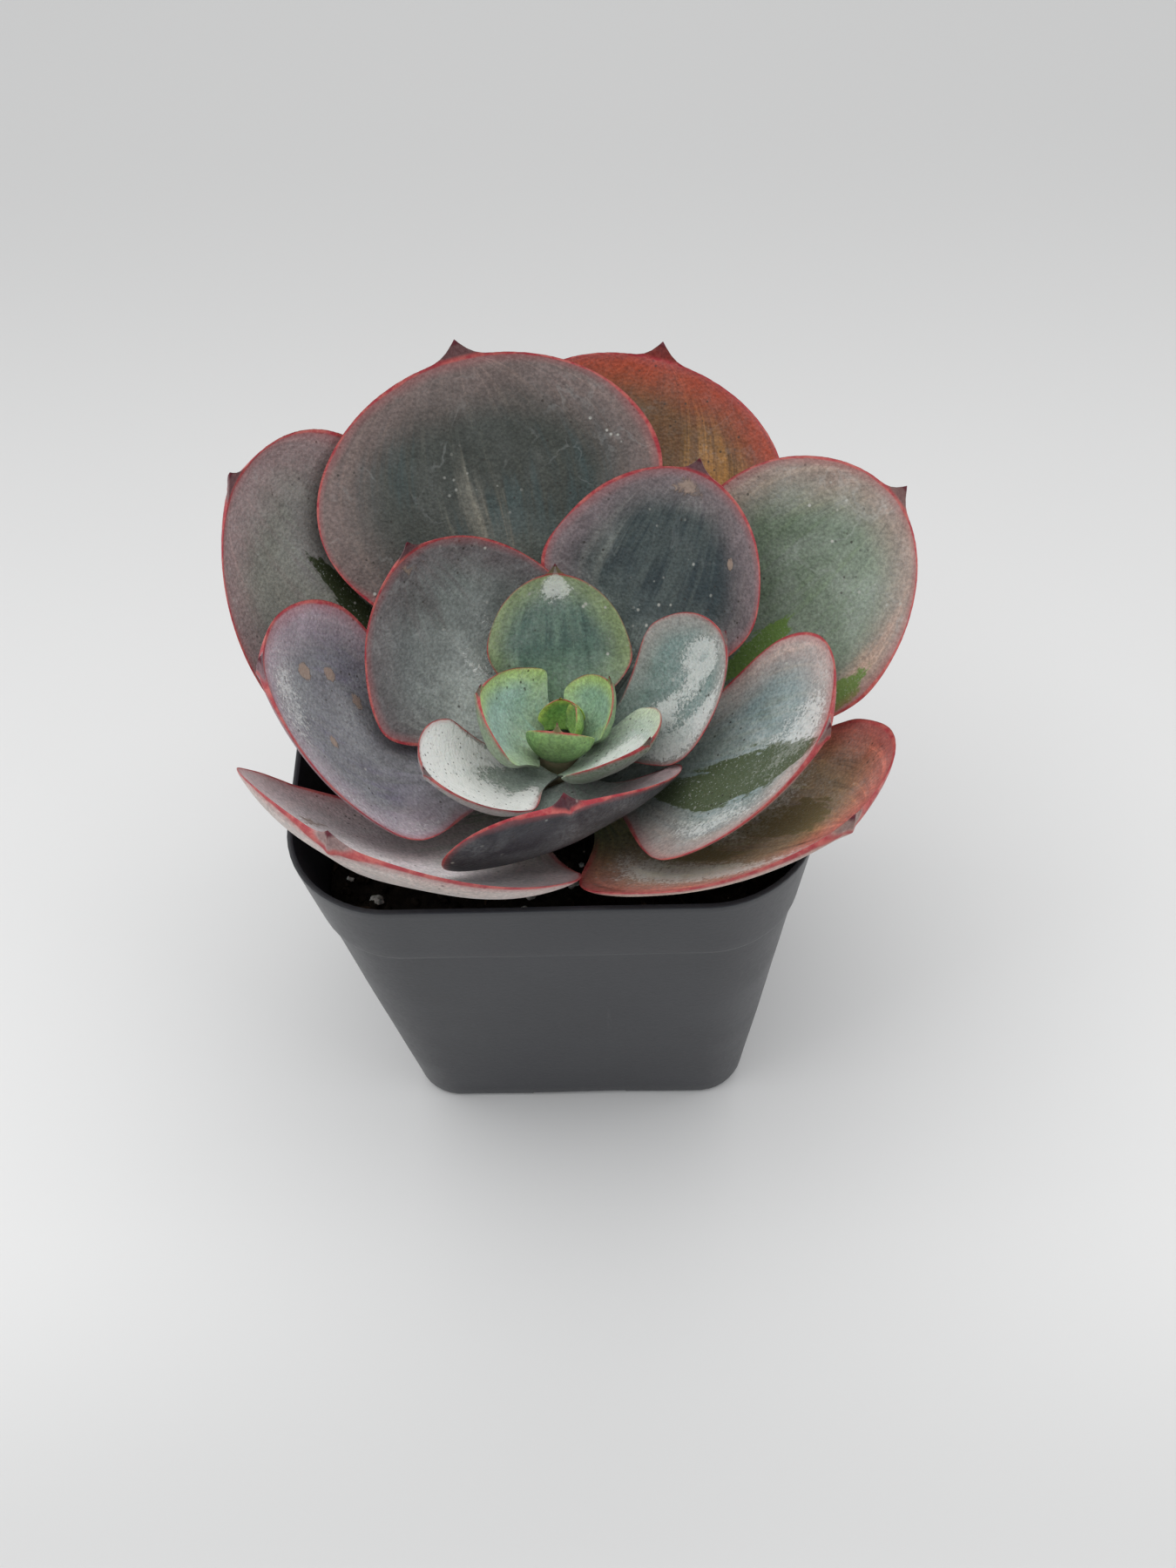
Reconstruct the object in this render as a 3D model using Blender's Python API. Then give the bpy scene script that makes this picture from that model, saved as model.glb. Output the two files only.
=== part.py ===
"""Potted rosette succulent: a thin square nursery pot, potting mix, a short stem and twenty leaves.

Metres, +Z up, the pot's front towards -Y. The origin is the middle of the pot's underside.
"""
import bpy
import bmesh
from math import acos, atan2, cos, pi, radians, sin, sqrt, tan
from mathutils import Matrix, Vector

MM = 0.001

# pot
POT_TOP_WIDTH = 63.5 * MM       # across the rim, flat to flat
POT_BASE_WIDTH = 46.0 * MM      # across the foot
POT_HEIGHT = 60.0 * MM
POT_TOP_CORNER = 13.0 * MM      # corner radius at the rim
POT_BASE_CORNER = 6.5 * MM      # corner radius at the foot
POT_WALL = 0.8 * MM
POT_FLOOR = 1.2 * MM
COLLAR_DEPTH = 12.5 * MM        # the stiffening collar below the rim
COLLAR_STEP = 0.35 * MM         # how far the collar stands out from the wall below it
DRAIN_HOLE = 8.0 * MM           # diameter of the four drain holes in the floor
DRAIN_INSET = 7.0 * MM          # hole centre to the outside of the foot
NOTCH_WIDTH = 13.0 * MM         # drain notch in the middle of each foot edge
NOTCH_HEIGHT = 1.0 * MM
CORNER_STEPS = 5                # segments in each rounded corner

# potting mix
SOIL_DROP = 11.5 * MM           # from the rim down to the soil
CROWN_DROP = 11.5 * MM          # from the rim down to the base of the crown of leaves
SOIL_CROWN = 0.8 * MM           # how much the soil rises around the stem
GAP = 0.3 * MM                  # clearance between pieces that touch
SEAT_GAP = 0.7 * MM             # from the stem to the middle of a leaf's rounded base

# stem
STEM_X = 1.0 * MM
STEM_Y = -8.0 * MM
STEM_RADIUS = 3.4 * MM
STEM_TIP_RADIUS = 0.6 * MM
STEM_SHOULDER = 9.0 * MM        # height above the crown's base where the stem narrows
STEM_HEIGHT = 14.0 * MM         # height of the growing tip above the crown's base
STEM_BURIED = 18.0 * MM         # root crown inside the soil

# leaves: sizes that every leaf works out from its own width
LEAF_THICKNESS = 1.0 * MM       # thickness of a leaf of no width
LEAF_THICKNESS_RATE = 0.06      # extra thickness for each unit of width
POINT_LENGTH = 0.8 * MM         # the sharp point at the leaf's tip
POINT_LENGTH_RATE = 0.035
BIG_LEAF = 24.0 * MM            # wider leaves get a finer mesh
NECK_DEPTH = 0.62               # share of the full thickness at the neck, the middle and the tip
MIDDLE_DEPTH = 0.8
TIP_DEPTH = 0.3
ROUNDED = 0.72                  # share of the underside's belly that is an arc, the rest a full edge
TIP_CROWDING = 1.6              # how closely the mesh's rings crowd towards the tip
STATIONS = 48                   # steps along a leaf's middle line
TIP_LIFT = 0.35                 # how much the sharp point bends up
BELLY_POWER = 2.2               # shape of the belly's arc
EDGE_POWER = 6                  # how square the leaf's edge is
LEAN_REACH = 0.5                # share of the length over which the roll builds up
BIG_MESH = (14, 13)             # mesh steps around and along a big leaf
SMALL_MESH = (10, 10)

# name: seat height above the crown's base, seat azimuth, heading, reach from the stem's axis,
# width (mm, degrees), rise at the neck, rise at the tip, cup, shear, roll, widest place,
# bluntness, neck width as a share of the width, colour
LEAVES = {
    "outer_leaf_front_right": (4.7, 330, 326.5, 45.7, 36.3, 9, 50, 26, -23, -7, 0.55, 1.7, 0.18, "olive"),
    "outer_leaf_back_right": (3.0, 76, 76, 59.8, 42.0, 12, 39, 28, -6, 6, 0.63, 2.4, 0.20, "red"),
    "outer_leaf_front_left": (4.5, 230, 228, 45.3, 37.4, 11, 67, 27, 23, 11, 0.62, 2.2, 0.18, "mauve"),
    "outer_leaf_left": (4.7, 153, 151, 57.0, 37.5, 13, 67, 27, 17, 2, 0.60, 2.1, 0.20, "slate"),
    "outer_leaf_right": (5.6, 27, 25, 54.0, 33.5, 28, 40, 19, -4, 14, 0.67, 1.7, 0.20, "sage"),
    "middle_leaf_back": (7.4, 108, 106, 53.9, 44.3, 27, 51, 18, 1, -1, 0.65, 2.0, 0.21, "slate"),
    "middle_leaf_left": (7.6, 191, 189, 44.7, 31.8, 17, 70, 25, 13, -3, 0.60, 1.5, 0.21, "mauve"),
    "middle_leaf_right": (7.7, 340, 339, 40.3, 31.2, 22, 50, 22, -13, 5, 0.63, 2.3, 0.22, "sage"),
    "inner_leaf_front": (9.7, 276, 276, 29.5, 30.0, 16, 78, 8, 23, 17, 0.61, 2.2, 0.24, "slate"),
    "inner_leaf_back_right": (9.2, 49, 55, 40.3, 30.7, 29, 58, 22, 4, -1, 0.59, 1.7, 0.22, "teal"),
    "inner_leaf_back_left": (9.6, 141, 142, 33.9, 30.9, 31, 75, 14, -1, -5, 0.48, 1.5, 0.24, "teal"),
    "heart_leaf_right": (10.2, 7, 7, 28.6, 17.3, 31, 64, 23, -12, 17, 0.59, 1.5, 0.30, "frost"),
    "heart_leaf_front_left": (10.8, 220, 220, 23.7, 16.9, 17, 60, 43, 8, -9, 0.54, 1.9, 0.36, "frost"),
    "heart_leaf_back": (11.0, 97, 89, 22.8, 18.5, 32, 62, 28, -4, 12, 0.51, 1.8, 0.42, "teal"),
    "bud_leaf_front_right": (11.5, 322, 322, 19.1, 15.7, 38, 55, 31, 6, -6, 0.48, 2.0, 0.50, "green"),
    "bud_leaf_left": (12.5, 184, 182, 15.0, 18.3, 38, 79, 45, -16, -5, 0.46, 1.9, 0.55, "green"),
    "bud_leaf_right": (12.3, 34, 24, 11.5, 11.6, 42, 72, 33, 14, -8, 0.47, 2.1, 0.55, "green"),
    "tip_leaf_back": (13.1, 83, 84, 6.3, 6.2, 51, 95, 40, 3, 4, 0.46, 1.7, 0.70, "lime"),
    "tip_leaf_front": (13.4, 274, 273, 8.4, 9.0, 45, 97, 42, 5, -8, 0.45, 1.7, 0.70, "lime"),
    "tip_leaf_right": (13.8, 15, 15, 6.6, 4.4, 60, 100, 42, 0, 0, 0.45, 1.7, 0.70, "lime"),
}

COLOURS = {
    "plastic": ((0.045, 0.047, 0.052, 1.0), 0.42),
    "soil": ((0.030, 0.024, 0.019, 1.0), 0.95),
    "stem": ((0.260, 0.300, 0.180, 1.0), 0.70),
    "slate": ((0.130, 0.150, 0.140, 1.0), 0.55),
    "teal": ((0.120, 0.190, 0.180, 1.0), 0.55),
    "sage": ((0.190, 0.250, 0.200, 1.0), 0.55),
    "mauve": ((0.230, 0.200, 0.250, 1.0), 0.60),
    "olive": ((0.260, 0.180, 0.130, 1.0), 0.55),
    "red": ((0.450, 0.120, 0.060, 1.0), 0.50),
    "frost": ((0.420, 0.480, 0.460, 1.0), 0.75),
    "green": ((0.300, 0.450, 0.260, 1.0), 0.55),
    "lime": ((0.400, 0.520, 0.140, 1.0), 0.50),
}


def clear_scene():
    for old in list(bpy.data.objects):
        bpy.data.objects.remove(old, do_unlink=True)


def material(name):
    if name in bpy.data.materials:
        return bpy.data.materials[name]
    colour, roughness = COLOURS[name]
    made = bpy.data.materials.new(name)
    made.use_nodes = True
    shader = made.node_tree.nodes["Principled BSDF"]
    shader.inputs["Base Color"].default_value = colour
    shader.inputs["Roughness"].default_value = roughness
    shader.inputs["Metallic"].default_value = 0.0
    return made


def add_object(name, bm, finish, sharp=40):
    bmesh.ops.recalc_face_normals(bm, faces=bm.faces)
    mesh = bpy.data.meshes.new(name)
    bm.to_mesh(mesh)
    bm.free()
    mesh.shade_smooth()
    mesh.set_sharp_from_angle(angle=radians(sharp))
    mesh.materials.append(material(finish))
    made = bpy.data.objects.new(name, mesh)
    bpy.context.collection.objects.link(made)
    return made


def square_ring(bm, width, corner, height):
    """Points around a square with rounded corners."""
    half = width / 2 - corner
    verts = []
    for quarter in range(4):
        centre = Matrix.Rotation(quarter * pi / 2, 3, "Z") @ Vector((half, half, height))
        for step in range(CORNER_STEPS + 1):
            angle = (quarter + step / CORNER_STEPS) * pi / 2
            spot = centre + corner * Vector((cos(angle), sin(angle), 0))
            verts.append(bm.verts.new(spot))
    return verts


def round_ring(bm, radius, height, sides, x=0.0, y=0.0):
    turns = [2 * pi * k / sides for k in range(sides)]
    return [bm.verts.new((x + radius * cos(t), y + radius * sin(t), height)) for t in turns]


def loft(rings, bm):
    """A closed body through a row of rings, with a flat cap on the first and the last."""
    for lower, upper in zip(rings, rings[1:]):
        for k in range(len(lower)):
            bm.faces.new((lower[k - 1], lower[k], upper[k], upper[k - 1]))
    for ring in (rings[0], rings[-1]):
        bm.faces.new(ring)


def wall_at(height):
    """Outside width and corner radius of the plain tapered wall at a height."""
    share = height / POT_HEIGHT
    width = POT_BASE_WIDTH + (POT_TOP_WIDTH - POT_BASE_WIDTH) * share
    corner = POT_BASE_CORNER + (POT_TOP_CORNER - POT_BASE_CORNER) * share
    return width, corner


def inside_at(height, gap=0.0):
    """Width and corner radius of the pot's hollow at a height, less a gap all round."""
    width, corner = wall_at(height)
    inset = POT_WALL + COLLAR_STEP + gap
    return width - 2 * inset, corner - inset


def cutter(name, bm):
    made = add_object(name, bm, "plastic")
    made.hide_render = True
    made.display_type = "WIRE"
    return made


def cut(target, tool):
    step = target.modifiers.new(tool.name, "BOOLEAN")
    step.operation = "DIFFERENCE"
    step.solver = "EXACT"
    step.object = tool


def drain_cutters():
    """A notch in each edge of the foot and a hole just inside it."""
    tools = []
    reach = POT_BASE_WIDTH / 2
    for side in range(4):
        turn = Matrix.Rotation(side * pi / 2, 4, "Z")
        bm = bmesh.new()
        place = Matrix.Translation((0, -reach, 0)) @ Matrix.Diagonal(
            (NOTCH_WIDTH, 2 * DRAIN_INSET, 2 * NOTCH_HEIGHT, 1))
        bmesh.ops.create_cube(bm, size=1.0, matrix=turn @ place)
        tools.append(cutter(f"notch_cutter_{side}", bm))
        bm = bmesh.new()
        place = Matrix.Translation((0, DRAIN_INSET - reach, 0))
        bmesh.ops.create_cone(bm, cap_ends=True, segments=20, radius1=DRAIN_HOLE / 2,
                              radius2=DRAIN_HOLE / 2, depth=4 * POT_FLOOR, matrix=turn @ place)
        tools.append(cutter(f"drain_cutter_{side}", bm))
    return tools


def build_pot():
    floor = POT_FLOOR + NOTCH_HEIGHT
    collar = POT_HEIGHT - COLLAR_DEPTH
    bm = bmesh.new()
    rings = []
    for height, inset in ((0, COLLAR_STEP), (collar - COLLAR_STEP, COLLAR_STEP), (collar, 0),
                          (POT_HEIGHT, 0)):
        width, corner = wall_at(height)
        rings.append(square_ring(bm, width - 2 * inset, corner - inset, height))
    for height in (POT_HEIGHT, floor):
        width, corner = inside_at(height)
        rings.append(square_ring(bm, width, corner, height))
    loft(rings, bm)
    pot = add_object("pot", bm, "plastic", sharp=25)
    for tool in drain_cutters():
        cut(pot, tool)
    return pot


def soil_top():
    return POT_HEIGHT - SOIL_DROP


def crown_base():
    return POT_HEIGHT - CROWN_DROP


def build_soil():
    """Fills the pot up to the soil line, low at the walls and a little raised at the stem."""
    bm = bmesh.new()
    rings = []
    for height in (POT_FLOOR + NOTCH_HEIGHT + GAP, soil_top() - SOIL_CROWN):
        width, corner = inside_at(height, GAP)
        rings.append(square_ring(bm, width, corner, height))
    width, corner = inside_at(soil_top() - SOIL_CROWN, GAP)
    rings.append(square_ring(bm, width * 0.8, corner * 0.8, soil_top() - SOIL_CROWN / 4))
    rings.append(square_ring(bm, width * 0.6, corner * 0.6, soil_top()))
    loft(rings, bm)
    soil = add_object("soil", bm, "soil")
    bm = bmesh.new()
    deep = STEM_BURIED + GAP
    place = Matrix.Translation((STEM_X, STEM_Y, soil_top()))
    bmesh.ops.create_cone(bm, cap_ends=True, segments=16, radius1=STEM_RADIUS + GAP,
                          radius2=STEM_RADIUS + GAP, depth=2 * deep, matrix=place)
    cut(soil, cutter("stem_socket_cutter", bm))
    return soil


def stem_radius(height):
    """Radius of the stem at a height above the crown's base."""
    if height <= STEM_SHOULDER:
        return STEM_RADIUS
    share = (height - STEM_SHOULDER) / (STEM_HEIGHT - STEM_SHOULDER)
    return STEM_RADIUS + (STEM_TIP_RADIUS - STEM_RADIUS) * share


def build_stem():
    bm = bmesh.new()
    root = soil_top() - STEM_BURIED
    profile = ((root, 0.5 * STEM_RADIUS), (root + 0.5 * STEM_BURIED, STEM_RADIUS),
               (crown_base(), STEM_RADIUS), (crown_base() + STEM_SHOULDER, STEM_RADIUS),
               (crown_base() + STEM_HEIGHT, STEM_TIP_RADIUS))
    rings = [round_ring(bm, radius, height, 16, STEM_X, STEM_Y)
             for height, radius in profile]
    loft(rings, bm)
    return add_object("stem", bm, "stem")


def ease(x, low, high):
    """Straight change from low to high as x goes from 0 to 1, flat outside."""
    return low + (high - low) * min(max(x, 0.0), 1.0)


def outline(along, neck, widest, blunt):
    """Half width of a leaf as a share of its greatest half width."""
    if along < widest:
        return neck + (1 - neck) * sin((along / widest) ** 1.25 * pi / 2) ** 1.7
    return sqrt(max(0.0, 1 - ((along - widest) / (1 - widest)) ** blunt))


def midline(start, heading, length, rise, stations):
    """Points and directions along a leaf whose rise turns steadily from neck to tip."""
    out, up = Vector((cos(heading), sin(heading), 0)), Vector((0, 0, 1))
    points, ways, fine = [], [], 12
    spot = start.copy()
    for k in range(stations * fine + 1):
        angle = ease(k / (stations * fine), *rise)
        way = out * cos(angle) + up * sin(angle)
        if k % fine == 0:
            points.append(spot.copy())
            ways.append(way)
        spot += way * length / (stations * fine)
    return points, ways


def leaf_depth(along):
    """Thickness along the leaf as a share of its greatest thickness."""
    if along < 0.25:
        return ease(along / 0.25, NECK_DEPTH, 1.0)
    if along < 0.60:
        return ease((along - 0.25) / 0.35, 1.0, MIDDLE_DEPTH)
    return ease((along - 0.60) / 0.40, MIDDLE_DEPTH, TIP_DEPTH)


def build_leaf(name):
    """A cupped spoon of a leaf: a sphere whose poles become the neck and the pointed tip."""
    (seat, azimuth, heading, tip_reach, width, low, high, cup, shear, roll,
     widest, blunt, neck, finish) = LEAVES[name]
    seat, width = seat * MM, width * MM
    azimuth, heading, cup, shear, roll = map(radians, (azimuth, heading, cup, shear, roll))
    depth = LEAF_THICKNESS + LEAF_THICKNESS_RATE * width
    point = POINT_LENGTH + POINT_LENGTH_RATE * width
    around, stations = BIG_MESH if width > BIG_LEAF else SMALL_MESH

    reach = stem_radius(seat) + SEAT_GAP
    length = tip_reach * MM - reach
    start = Vector((STEM_X + reach * cos(azimuth), STEM_Y + reach * sin(azimuth),
                    crown_base() + seat))
    points, ways = midline(start, heading, length, (radians(low), radians(high)), STATIONS)
    side = Vector((-sin(heading), cos(heading), 0))

    bm = bmesh.new()
    bmesh.ops.create_uvsphere(bm, u_segments=around, v_segments=stations, radius=1.0)
    for vert in bm.verts:
        ring = round(stations * acos(max(-1.0, min(1.0, vert.co.z))) / pi)
        turn = atan2(vert.co.y, vert.co.x)
        share = (ring - 1) / (stations - 1) if ring else 0.0
        along = 1 - (1 - min(max(share, 0.0), 1.0)) ** TIP_CROWDING
        spot = points[round(along * STATIONS)]
        way = ways[round(along * STATIONS)]
        over = way.cross(side)
        lean = roll * min(along / LEAN_REACH, 1.0)
        across, rise = side * cos(lean) + over * sin(lean), over * cos(lean) - side * sin(lean)
        if ring == 0:
            vert.co = spot - rise * depth * 0.3
            continue
        if ring == stations:
            vert.co = points[-1] + ways[-1] * point + rise * point * TIP_LIFT
            continue
        half = width / 2 * outline(along, neck, widest, blunt)
        bend = cup * (0.35 + 0.65 * 2 * half / width)
        place = cos(turn)
        curl = bend * abs(place)
        x = half * sin(curl) / bend * (1 if place > 0 else -1)
        y = half * (1 - cos(curl)) / bend
        top = spot + across * x + rise * y - way * x * tan(shear)
        vert.co = top
        if sin(turn) < 0.001:
            belly = ROUNDED * (1 - abs(place) ** BELLY_POWER)
            body = belly + (1 - ROUNDED) * sqrt(max(0.0, 1 - place ** EDGE_POWER))
            thick = depth * leaf_depth(along) * body * min(0.25 + half / (4 * MM), 1.0)
            normal = rise * cos(curl) - across * sin(curl) * (1 if place > 0 else -1)
            vert.co = top - normal * thick
    return add_object(name, bm, finish, sharp=70)


def main():
    clear_scene()
    build_pot()
    build_soil()
    build_stem()
    for name in LEAVES:
        build_leaf(name)


main()
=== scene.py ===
from math import acos, atan2, cos, exp, pi, radians, sin, sqrt, tan
from random import Random

import bmesh
import bpy
import numpy as np
from mathutils import Matrix, Vector, noise


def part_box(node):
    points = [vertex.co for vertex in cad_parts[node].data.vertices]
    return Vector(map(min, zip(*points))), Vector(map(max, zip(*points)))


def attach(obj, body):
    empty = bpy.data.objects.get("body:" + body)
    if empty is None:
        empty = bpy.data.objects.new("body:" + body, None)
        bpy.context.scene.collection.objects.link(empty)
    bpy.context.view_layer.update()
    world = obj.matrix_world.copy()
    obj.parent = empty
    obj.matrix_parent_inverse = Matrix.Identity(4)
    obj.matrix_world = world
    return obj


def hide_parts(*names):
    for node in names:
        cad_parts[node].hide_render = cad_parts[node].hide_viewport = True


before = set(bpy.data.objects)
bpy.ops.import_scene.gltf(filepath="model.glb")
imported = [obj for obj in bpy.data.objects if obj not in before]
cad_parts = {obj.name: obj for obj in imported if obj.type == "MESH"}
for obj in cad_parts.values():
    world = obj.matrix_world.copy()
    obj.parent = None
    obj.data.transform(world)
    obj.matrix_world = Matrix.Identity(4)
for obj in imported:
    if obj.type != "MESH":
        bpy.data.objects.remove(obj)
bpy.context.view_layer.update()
mm = 0.001
potBox, soilBox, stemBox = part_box("pot"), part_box("soil"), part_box("stem")
potTop = potBox[1].z
soilTop = soilBox[1].z
stemAxis = (stemBox[0] + stemBox[1]) / 2


# small helpers for nodes
def wire(tree, kind, options=None, feeds=None):
    made = tree.nodes.new(kind)
    for key, value in (options or {}).items():
        setattr(made, key, value)
    for key, value in (feeds or {}).items():
        if isinstance(value, bpy.types.NodeSocket):
            tree.links.new(value, made.inputs[key])
        else:
            made.inputs[key].default_value = value
    return made


def calc(tree, what, a, b=0.0, c=0.0, clamp=False):
    return wire(tree, "ShaderNodeMath", {"operation": what, "use_clamp": clamp},
                {0: a, 1: b, 2: c}).outputs[0]


def times(tree, a, b, clamp=False):
    return calc(tree, "MULTIPLY", a, b, clamp=clamp)


def plus(tree, a, b, clamp=False):
    return calc(tree, "ADD", a, b, clamp=clamp)


def timesPlus(tree, a, b, c, clamp=False):  # a times b, and c added
    return calc(tree, "MULTIPLY_ADD", a, b, c, clamp)


def span(tree, value, low, high, toLow=0.0, toHigh=1.0):  # soft step from one value to another
    return wire(tree, "ShaderNodeMapRange", {"interpolation_type": "SMOOTHSTEP"},
                {0: value, 1: low, 2: high, 3: toLow, 4: toHigh}).outputs[0]


def blendColour(tree, share, first, second, how="MIX"):
    fix = [v if isinstance(v, bpy.types.NodeSocket) else (*v, 1.0)[:4] for v in (first, second)]
    return wire(tree, "ShaderNodeMix", {"data_type": "RGBA", "blend_type": how},
                {0: share, 6: fix[0], 7: fix[1]}).outputs[2]


def grain(tree, spot, scale, detail=3.0, rough=0.55, warp=0.0):
    return wire(tree, "ShaderNodeTexNoise", {},
                {"Vector": spot, "Scale": scale, "Detail": detail, "Roughness": rough,
                 "Distortion": warp}).outputs[0]


def tinted(tree, share, colour, factors):  # the same colour, multiplied where the share is high
    return blendColour(tree, share, colour, blendColour(tree, 1.0, colour, factors, "MULTIPLY"))


def pits(tree, spot, scale):
    return wire(tree, "ShaderNodeTexVoronoi", {}, {"Vector": spot, "Scale": scale}).outputs["Distance"]


def painted(tree, name):  # a value stored on the piece's own points
    return wire(tree, "ShaderNodeAttribute", {"attribute_name": name}).outputs["Fac"]


def newGroup(name, takes, gives):
    group = bpy.data.node_groups.new(name, "ShaderNodeTree")
    for label, value in takes.items():
        kind = "NodeSocketVector" if value is None else "NodeSocketFloat"
        socket = group.interface.new_socket(name=label, in_out="INPUT", socket_type=kind)
        if value is not None:
            socket.default_value = value
    for label in gives:
        group.interface.new_socket(name=label, in_out="OUTPUT", socket_type="NodeSocketFloat")
    return group, group.nodes.new("NodeGroupInput").outputs, group.nodes.new("NodeGroupOutput").inputs


def useGroup(tree, group, feeds):
    return wire(tree, "ShaderNodeGroup", {"node_tree": group}, feeds).outputs


def newMaterial(name, fixed):
    made = bpy.data.materials.new(name)
    made.use_nodes = True
    tree = made.node_tree
    shader = tree.nodes["Principled BSDF"]
    for key, value in fixed.items():
        shader.inputs[key].default_value = value
    spot = wire(tree, "ShaderNodeTexCoord").outputs["Object"]
    return made, tree, shader, spot


def dress(tree, shader, colour, rough, height, depth, strength):  # depth of the bumps in metres
    bump = wire(tree, "ShaderNodeBump", {}, {"Height": height, "Distance": depth, "Strength": strength})
    for value, label in ((colour, "Base Color"), (rough, "Roughness"), (bump.outputs[0], "Normal")):
        tree.links.new(value, shader.inputs[label])


def meshFrom(name, bm):
    mesh = bpy.data.meshes.new(name)
    bm.to_mesh(mesh)
    bm.free()
    return mesh


def addObject(name, data):
    made = bpy.data.objects.new(name, data)
    bpy.context.scene.collection.objects.link(made)
    return made


# shared effects
def makePowderGroup():  # waxy powder: clouds of fine grains, rubbed off here and there
    group, takes, gives = newGroup("powderBloom", {"Spot": None, "Amount": 0.5, "Patches": 0.4},
                                   ("Mask", "Height"))
    cloud = grain(group, takes["Spot"], 160.0, 4.0, 0.6, 0.6)
    fine = grain(group, takes["Spot"], 2600.0, 2.0, 0.7)
    cover = timesPlus(group, calc(group, "SUBTRACT", cloud, 0.5), takes["Patches"], takes["Amount"])
    grains = span(group, fine, 0.30, 0.68, 0.35, 1.35)
    group.links.new(times(group, cover, grains, clamp=True), gives["Mask"])
    group.links.new(times(group, fine, takes["Amount"]), gives["Height"])
    return group


def makeMarginGroup():  # the red line along the leaf's edge and the blush beside it
    group, takes, gives = newGroup("redMargin", {"Spot": None, "Edge": 5.0, "Along": 0.5, "Width": 0.5,
                                                 "From": 0.15}, ("Line", "Blush"))
    wobble = grain(group, takes["Spot"], 240.0, 4.0, 0.6)
    swell = span(group, grain(group, takes["Spot"], 60.0, 2.0), 0.34, 0.66, 0.55, 1.35)
    edge = plus(group, takes["Edge"], timesPlus(group, wobble, 0.5, -0.25))
    reach = times(group, takes["Width"], swell)
    share = calc(group, "DIVIDE", edge, reach)
    fade = span(group, calc(group, "SUBTRACT", takes["Along"], takes["From"]), 0.0, 0.25)
    group.links.new(times(group, span(group, share, 0.5, 1.25, 1.0, 0.0), fade), gives["Line"])
    group.links.new(times(group, span(group, share, 0.5, 4.6, 1.0, 0.0), fade), gives["Blush"])
    return group


def makeSpeckGroup():  # scattered dark and pale dots of two sizes
    group, takes, gives = newGroup("skinSpecks", {"Spot": None, "Density": 0.5}, ("Dark", "Pale"))
    where = grain(group, takes["Spot"], 120.0, 3.0)
    dots = pits(group, takes["Spot"], 900.0)
    dark = times(group, span(group, dots, 0.10, 0.20, 1.0, 0.0), span(group, where, 0.50, 0.62))
    shifted = wire(group, "ShaderNodeVectorMath", {"operation": "ADD"},
                   {0: takes["Spot"], 1: (0.37, 0.11, 0.53)}).outputs[0]
    dots = pits(group, shifted, 620.0)
    where = grain(group, shifted, 90.0, 3.0)
    pale = times(group, span(group, dots, 0.07, 0.17, 1.0, 0.0), span(group, where, 0.52, 0.66))
    group.links.new(times(group, dark, takes["Density"]), gives["Dark"])
    group.links.new(times(group, pale, takes["Density"]), gives["Pale"])
    return group


def makeDustGroup():  # scuffs and dust for moulded plastic and soil
    group, takes, gives = newGroup("fineDust", {"Spot": None, "Scale": 1.0}, ("Dust", "Scuff", "Height"))
    spot = wire(group, "ShaderNodeVectorMath", {"operation": "SCALE"},
                {0: takes["Spot"], "Scale": takes["Scale"]}).outputs[0]
    cloud = grain(group, spot, 60.0, 5.0, 0.65)
    fine = grain(group, spot, 1900.0, 3.0, 0.6)
    flecks = span(group, pits(group, spot, 260.0), 0.04, 0.11, 1.0, 0.0)
    flecks = times(group, flecks, span(group, grain(group, spot, 45.0, 2.0), 0.55, 0.64))
    dust = plus(group, times(group, span(group, cloud, 0.40, 0.75), fine), flecks, clamp=True)
    long = wire(group, "ShaderNodeMapping", {}, {"Vector": spot, "Scale": (1.0, 1.0, 0.10)}).outputs[0]
    scuff = span(group, grain(group, long, 700.0, 4.0, 0.7, 0.4), 0.60, 0.74)
    scuff = times(group, scuff, span(group, cloud, 0.48, 0.66))
    group.links.new(dust, gives["Dust"])
    group.links.new(scuff, gives["Scuff"])
    group.links.new(timesPlus(group, fine, 0.5, times(group, cloud, 0.5)), gives["Height"])
    return group


powderBloom, redMargin, skinSpecks, fineDust = (
    makePowderGroup(), makeMarginGroup(), makeSpeckGroup(), makeDustGroup())
print("shared effects made")

# leaves
# lengths in mm, angles in degrees; a share is of the leaf's length or half width
stemShape = {"radius": 3.4, "tipRadius": 0.6, "shoulder": 9.0, "height": 14.0, "seatGap": 0.7}
leafRules = {
    "thickness": 1.0, "thicknessRate": 0.06,       # thickness, and more of it with the width
    "depthAt": (0.0, 0.25, 0.60, 1.0), "depthShare": (0.62, 1.0, 0.8, 0.3),
    "flare": (1.25, 1.7),                          # how the blade opens from the neck
    "leastCup": 0.35, "leanReach": 0.5,
    "arc": 0.72, "arcPower": 2.2, "edgePower": 6,  # the belly, and the full edge beside it
    "keel": 0.12, "keelWidth": 0.14, "foldWidth": 0.10,
    "rim": 0.34,                                   # radius of the upper edge
    "point": 1.0, "pointRate": 0.030, "pointLift": 0.35, "pointFrom": 0.09, "pointPower": 2.2,
    "wobble": 0.016, "swell": 0.010,               # unevenness of the outline and of the surface
    "steps": 960, "crowding": 2.0}
leafMesh = ((24, 112, 120), (10, 72, 72), (0, 40, 44))  # wider than, segments around, rings
# the last tint is painted shadow, for undersides near the neck and for skin that neighbouring leaves shade
tints = {"veil": (1.65, 1.6, 1.5), "furrow": (0.50, 0.52, 0.52), "mottle": (0.52, 0.52, 0.52),
         "deep": (0.22, 0.20, 0.18)}
red, coral, wine = (0.40, 0.030, 0.045), (0.56, 0.130, 0.115), (0.12, 0.014, 0.026)
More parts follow.
